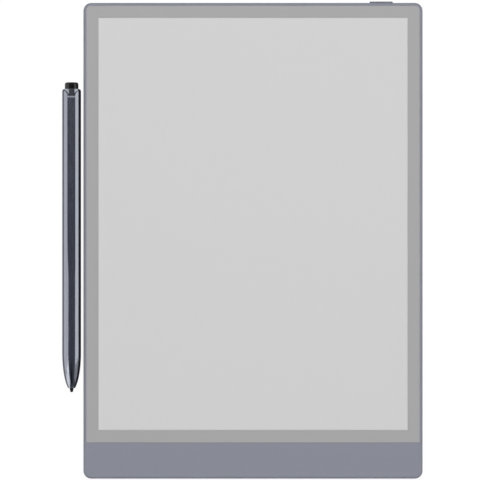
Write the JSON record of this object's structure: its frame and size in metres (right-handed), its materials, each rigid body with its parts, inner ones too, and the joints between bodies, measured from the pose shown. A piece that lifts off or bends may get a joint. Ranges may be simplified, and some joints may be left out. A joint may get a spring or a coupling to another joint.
{
  "type": "personal digital assistant",
  "caption": "Thin e-paper note tablet with a grey border, a plain chin, a power button on its top edge and a charging socket below, and a round stylus lying beside it.",
  "frame": {"origin": "middle of the flat rear face of the tablet", "axes": "+Z out of the screen, +Y along the long side towards the edge with the power button, +X to the right as the screen is read; the stylus lies beyond the -X edge"},
  "size_m": [0.1837, 0.2432, 0.0096],
  "materials": {
    "frame_metal": "fine blasted blue-grey paint, satin",
    "rear_shell": "fine textured blue-grey, matt",
    "foot_rubber": "matt rubber",
    "border_sheet": "matt printed sheet, neutral grey",
    "writing_film": "matt etched film, paper grey",
    "display_glass": "coated display glass, opaque",
    "circuit_board": "solder mask",
    "battery_wrap": "laminated pouch foil",
    "plated_steel": "tin plated",
    "black_plastic": "moulded, satin",
    "ribbon_cable": "polyimide film",
    "magnet_nickel": "nickel plated",
    "barrel_metal": "anodised blue-grey, satin",
    "nib_plastic": "dense felt-like plastic, matt",
    "eraser_plastic": "moulded, slightly glossy",
    "ferrite": "sintered, matt",
    "coil_copper": "enamelled copper wire"
  },
  "bodies": {
    "tablet": {"rear_cover": "rear_shell", "rear_foot_1": "foot_rubber", "rear_foot_2": "foot_rubber", "rear_foot_3": "foot_rubber", "rear_foot_4": "foot_rubber", "mid_frame": "frame_metal", "front_bezel": "border_sheet", "screen_film": "writing_film", "epaper_panel": "display_glass", "digitizer_board": "circuit_board", "battery_pack": "battery_wrap", "battery_connector": "black_plastic", "battery_lead": "black_plastic", "main_board": "circuit_board", "board_screw_1": "plated_steel", "board_screw_2": "plated_steel", "board_screw_3": "plated_steel", "board_screw_4": "plated_steel", "processor_shield": "plated_steel", "radio_shield": "plated_steel", "memory_chip": "black_plastic", "usb_shell": "plated_steel", "usb_tongue": "black_plastic", "display_flex": "ribbon_cable", "display_connector": "black_plastic", "digitizer_flex": "ribbon_cable", "digitizer_connector": "black_plastic", "power_switch": "black_plastic", "button_bracket": "plated_steel", "button_flex": "ribbon_cable", "dock_magnet_1": "magnet_nickel", "dock_magnet_2": "magnet_nickel", "dock_magnet_3": "magnet_nickel"},
    "power_key": {"power_button": "frame_metal", "switch_plunger": "black_plastic"},
    "stylus": {"stylus_barrel": "barrel_metal", "stylus_ferrite_core": "ferrite", "stylus_coil": "coil_copper", "stylus_tip_sensor": "black_plastic", "stylus_carrier": "black_plastic", "stylus_circuit_board": "circuit_board", "stylus_magnet_1": "magnet_nickel", "stylus_magnet_2": "magnet_nickel", "stylus_eraser_sensor": "black_plastic"},
    "nib": {"stylus_nib": "nib_plastic"},
    "eraser": {"stylus_eraser": "eraser_plastic"}
  },
  "joints": [
    {"name": "power_press", "type": "slide", "parent": "tablet", "child": "power_key", "axis": [0, -1, 0], "range_m": [0, 0.0004], "stiffness_N_per_m": 1500},
    {"name": "stylus_slide", "type": "slide", "parent": "tablet", "child": "stylus", "axis": [1, 0, 0], "range_m": [-0.06, 0.0012]},
    {"name": "nib_press", "type": "slide", "parent": "stylus", "child": "nib", "axis": [0, 1, 0], "range_m": [0, 0.0005], "stiffness_N_per_m": 1000},
    {"name": "eraser_press", "type": "slide", "parent": "stylus", "child": "eraser", "axis": [0, -1, 0], "range_m": [0, 0.0005], "stiffness_N_per_m": 1000}
  ]
}
